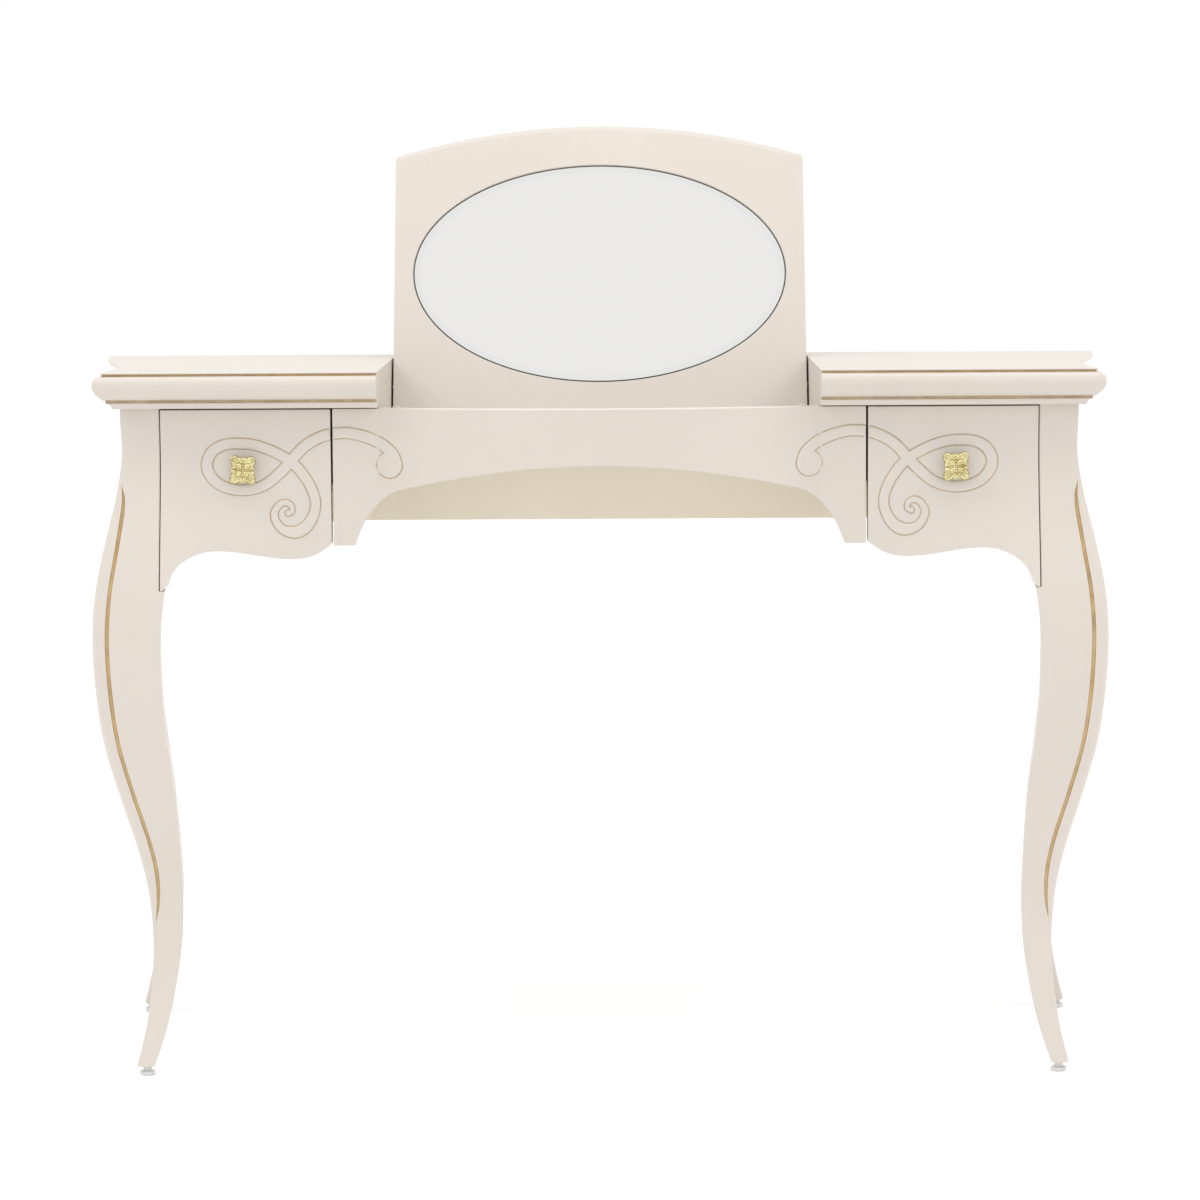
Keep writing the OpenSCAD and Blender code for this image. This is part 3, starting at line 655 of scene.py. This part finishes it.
def mirror_board():
    """The board under the lid's panel, with an oval pocket for the glass."""
    n = MIRROR_STEPS
    panel_z = LID_UNDER + MIRROR_BOARD_T
    # How far its bowed front stays behind the panel's, at its face and at the panel
    set_back, panel_set_back = 7, 1
    room = 0.9

    def border(angle, out, z):
        """Where a ray from the mirror's middle meets the board's edge."""
        dx, dy = math.cos(angle), math.sin(angle)
        reach = min(LID_HALF / abs(dx) if abs(dx) > 1e-6 else math.inf,
                    (TAIL_Y - MIRROR_Y) / dy if dy > 1e-6 else math.inf)
        if dy < 0:
            r, cy = ARC_R + out, LID_ARC_Y - MIRROR_Y
            reach = min(reach, dy * cy + math.sqrt(max(0, (dy * cy) ** 2 - cy * cy + r * r)))
        return (dx * reach, MIRROR_Y + dy * reach, z)

    corners = []
    front = LID_ARC_Y - math.sqrt((ARC_R - set_back) ** 2 - LID_HALF ** 2) - MIRROR_Y
    for x, y in ((LID_HALF, TAIL_Y - MIRROR_Y), (-LID_HALF, TAIL_Y - MIRROR_Y), (-LID_HALF, front),
                 (LID_HALF, front)):
        corners.append(math.atan2(y, x) % (2 * math.pi))
    angles = [2 * math.pi * k / n for k in range(n)]
    for corner in corners:
        nearest = min(range(n), key=lambda k: abs(angles[k] - corner))
        angles[nearest] = corner

    def oval(grow, z):
        ring = []
        for a in angles:
            c, s = math.cos(a), math.sin(a)
            r = 1 / math.sqrt((c / (MIRROR_A + grow)) ** 2 + (s / (MIRROR_B + grow)) ** 2)
            ring.append((r * c, MIRROR_Y + r * s, z))
        return ring
    soft = 0.8
    rings = [oval(room, LID_UNDER + POCKET_D), oval(room, LID_UNDER + soft),
             oval(room + soft, LID_UNDER),
             [border(a, -set_back - soft, LID_UNDER) for a in angles],
             [border(a, -set_back, LID_UNDER + soft) for a in angles],
             [border(a, -panel_set_back, panel_z) for a in angles]]
    verts, faces, marks = stack([lift(r) for r in rings])
    obj = build("mirror_board_shaped", verts, faces, [LACQUER], marks, angle=30)
    fit(obj, "lid", "lacquer", "mirror_board")


def mirror_glass():
    """Silvered oval with a ground bevel, standing in its pocket."""
    n = MIRROR_STEPS
    pocket = LID_UNDER + POCKET_D
    bevel = 7.5

    def oval(shrink, z):
        return [((MIRROR_A - shrink) * math.cos(2 * math.pi * k / n),
                 MIRROR_Y + (MIRROR_B - shrink) * math.sin(2 * math.pi * k / n), z) for k in range(n)]
    rings = [oval(0, pocket), oval(0, pocket - 2.8), oval(0.8, pocket - 4.1),
             oval(bevel, pocket - 4.5), oval(bevel + 0.5, pocket - 4.52), oval(bevel + 1.3, pocket - 4.53)]
    strip_marks = (1, 1, 2, 0, 0)
    verts, faces, marks = stack([lift(r) for r in rings], lambda r, k: strip_marks[r])
    obj = build("mirror_glass_bevelled", verts, faces, [SILVER, EDGE_DARK, BEVEL], marks, angle=3)
    fit(obj, "lid", "mirror", "mirror_glass")


# ---- Knobs and glides ------------------------------------------------------------------
def lathe(profile, n, centre, axis):
    """Rings turned from a profile of (radius, height) about an axis through centre."""
    rings = []
    for r, h in profile:
        ring = []
        for k in range(n):
            a = 2 * math.pi * k / n
            c, s = r * math.cos(a), r * math.sin(a)
            if axis == "front":
                ring.append((centre[0] + c, centre[1] - h, centre[2] + s))
            else:
                ring.append((centre[0] + c, centre[1] + s, centre[2] + h))
        rings.append(ring)
    return rings


def join(parts):
    """One set of lists from several closed shapes."""
    verts, faces, marks = [], [], []
    for v, f, m in parts:
        start = len(verts)
        verts += v
        faces += [tuple(start + i for i in face) for face in f]
        marks += m
    return verts, faces, marks


def cast_leaf(cx, cz, base, length, width, angle, height):
    """A rounded, domed leaf with a groove down its middle."""
    rows, cols = 12, 14
    rings = []
    for r in range(1, rows):
        t = r / rows
        half = width / 2 * math.sin(math.pi * t ** 0.85) ** 0.5
        crown = height * math.sin(math.pi * min(1, t * 0.92 + 0.08)) ** 0.6
        ring = []
        for k in range(cols + 1):
            s = -1 + 2 * k / cols
            groove = 0.28 * math.exp(-(s / 0.22) ** 2)
            lift_h = crown * (math.sqrt(max(0, 1 - s * s)) - groove)
            u, v = length * t, half * s
            ring.append((cx + u * math.cos(angle) - v * math.sin(angle), base - lift_h,
                         cz + u * math.sin(angle) + v * math.cos(angle)))
        for k in range(cols - 1, 0, -1):
            s = -1 + 2 * k / cols
            u, v = length * t, half * s
            ring.append((cx + u * math.cos(angle) - v * math.sin(angle), base + 1.6,
                         cz + u * math.sin(angle) + v * math.cos(angle)))
        rings.append(ring)
    return stack(rings)


# Outer leaves of a knob: (turn from the corner's direction in degrees, length, width)
LEAVES = ((-84, 9.4, 8), (84, 9.4, 8), (-4, 11, 11.4))


def knob(side, word):
    """A turned stem with a cluster of cast leaves at each of four corners."""
    back = FACE_Y - face_forward(KNOB_X, KNOB_Z)
    centre = (KNOB_X, back, KNOB_Z)
    leaf_y = back - 14
    inner_root = 1.8
    stem = stack(lathe([(8.2, -0.4), (8.2, 1.2), (7.2, 2.2), (4.6, 3), (3.8, 5.5), (4.2, 9), (6.5, 12),
                        (9, 13.4), (9.4, 14.4), (6, 15.2), (1, 15.6)], 40, centre, "front"))
    parts = [stem]
    for corner in range(4):
        tilt = math.radians(49 + 90 * corner)
        hub = (KNOB_X + 7.6 * math.cos(tilt), KNOB_Z + 9.4 * math.sin(tilt))
        for turn, long, wide in LEAVES:
            a = tilt + math.radians(turn)
            parts.append(cast_leaf(*hub, leaf_y, long, wide, a, 3.6))
        root = (KNOB_X + inner_root * math.cos(tilt), KNOB_Z + inner_root * math.sin(tilt))
        parts.append(cast_leaf(*root, leaf_y - inner_root, 8.4, 6.6, tilt, 3.2))
    parts.append(stack(lathe([(1.8, 14.5), (1.8, 15.6), (1.2, 16.2), (0.3, 16.4)], 24, centre,
                             "front")))
    verts, faces, marks = join(parts)
    obj = build(f"knob_{word}_cast", verts, faces, [GOLD], marks, angle=50, side=side)
    fit(obj, f"drawer_{word}", "gold_cast", f"knob_{word}")


def glide(kind, side, word):
    """A moulded foot that fills its node's box, turned about a post."""
    node = f"glide_{kind}_{word}"
    lo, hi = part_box(node)
    centre = [(a + b) / 2 / MM for a, b in zip(lo, hi)]
    radius = (hi[0] - lo[0]) / 2 / MM
    profile = [(0.55, 0), (0.85, 0.3), (1, 1.4), (1, 3.4), (0.93, 4.4), (0.62, 4.9), (0.55, 5.5),
               (0.55, 9), (0.86, 9.4), (0.86, FOOT_Z)]
    rings = lathe([(radius * r, h) for r, h in profile], 48, (abs(centre[0]), centre[1], 0), "up")
    verts, faces, marks = stack(rings)
    obj = build(f"{node}_turned", verts, faces, [GLIDE], marks, angle=35, side=side)
    fit(obj, "table", "glide_plastic", node)


# ---- The table -------------------------------------------------------------------------
centre_apron()
lid_panel()
mirror_board()
mirror_glass()
for side, word in ((1, "right"), (-1, "left")):
    for kind in ("front", "rear"):
        leg(kind, side)
        glide(kind, side, word)
    drawer_front(side, word)
    scroll(side, word, "drawer")
    scroll(side, word, "apron")
    edge_moulding(side, word)
    top_board(side, word)
    knob(side, word)

# Every frame solid wears its slot's material; the ones that no piece replaces stay visible
KEPT = {"lacquer": LACQUER, "grey_panel": PANEL, "pale_wood": WOOD, "zinc_steel": STEEL,
        "brass_bush": BRASS, "bumper_pad": FELT, "gold_cast": GOLD, "glide_plastic": GLIDE,
        "mirror": SILVER}
slots = {row["node"]: row["material_slot"] for row in frame["record"]["subparts"]}
for name, obj in nodes.items():
    obj.data.materials.clear()
    obj.data.materials.append(KEPT[slots[name]])
    soften(obj, 0.6, 2, 50)


# ---- Studio, in metres -----------------------------------------------------------------
def floor():
    mat, _, shader = new_material("pale_floor")
    shader.inputs["Base Color"].default_value = (0.93, 0.93, 0.93, 1)
    shader.inputs["Roughness"].default_value = 0.9
    shader.inputs["Specular IOR Level"].default_value = 0.1
    shader.inputs["Emission Color"].default_value = (1, 1, 1, 1)
    shader.inputs["Emission Strength"].default_value = 0.14
    half = 14.0
    mesh = bpy.data.meshes.new("studio_floor")
    mesh.from_pydata([(-half, -half, 0), (half, -half, 0), (half, half, 0), (-half, half, 0)], [],
                     [(0, 1, 2, 3)])
    mesh.materials.append(mat)
    obj = bpy.data.objects.new("studio_floor", mesh)
    bpy.context.scene.collection.objects.link(obj)


def area(name, place, aim, size, power):
    light = bpy.data.lights.new(name, "AREA")
    light.shape = "RECTANGLE"
    light.size, light.size_y = size
    light.energy = power
    obj = bpy.data.objects.new(name, light)
    obj.location = place
    obj.rotation_euler = (Vector(aim) - Vector(place)).to_track_quat("-Z", "Y").to_euler()
    bpy.context.scene.collection.objects.link(obj)


floor()
world = bpy.data.worlds.new("studio")
world.use_nodes = True
world.node_tree.nodes["Background"].inputs["Color"].default_value = (1, 1, 1, 1)
world.node_tree.nodes["Background"].inputs["Strength"].default_value = 1.0
bpy.context.scene.world = world
area("softbox_top", (0, -0.95, 3.9), (0, 0, 0.8), (2.4, 1.4), 23)
area("softbox_left", (-2.3, -0.9, 3.0), (0, 0, 0.8), (1.4, 1.4), 24)
area("softbox_right", (2.3, -0.9, 3.0), (0, 0, 0.8), (1.4, 1.4), 24)
bpy.context.scene.view_settings.view_transform = "Standard"

# The camera stands this far in front of the gold line (in millimetres), a little to the right
CAMERA_AWAY = 4215
CAMERA_RIGHT, CAMERA_HIGH = 0.022, 1.0132
CAMERA_YAW, CAMERA_DOWN, CAMERA_ROLL = 0.299, 6.408, -0.33
camera = bpy.data.cameras.new("camera")
camera.sensor_width = 36
camera.lens = 115.39
camera.clip_end = 100
view = bpy.data.objects.new("camera", camera)
view.location = (CAMERA_RIGHT, (EDGE_Y - CAMERA_AWAY) * MM, CAMERA_HIGH)
view.rotation_euler = (Matrix.Rotation(math.radians(CAMERA_YAW), 3, "Z")
                       @ Matrix.Rotation(math.radians(90 - CAMERA_DOWN), 3, "X")
                       @ Matrix.Rotation(math.radians(CAMERA_ROLL), 3, "Z")).to_euler()
bpy.context.scene.collection.objects.link(view)
bpy.context.scene.camera = view
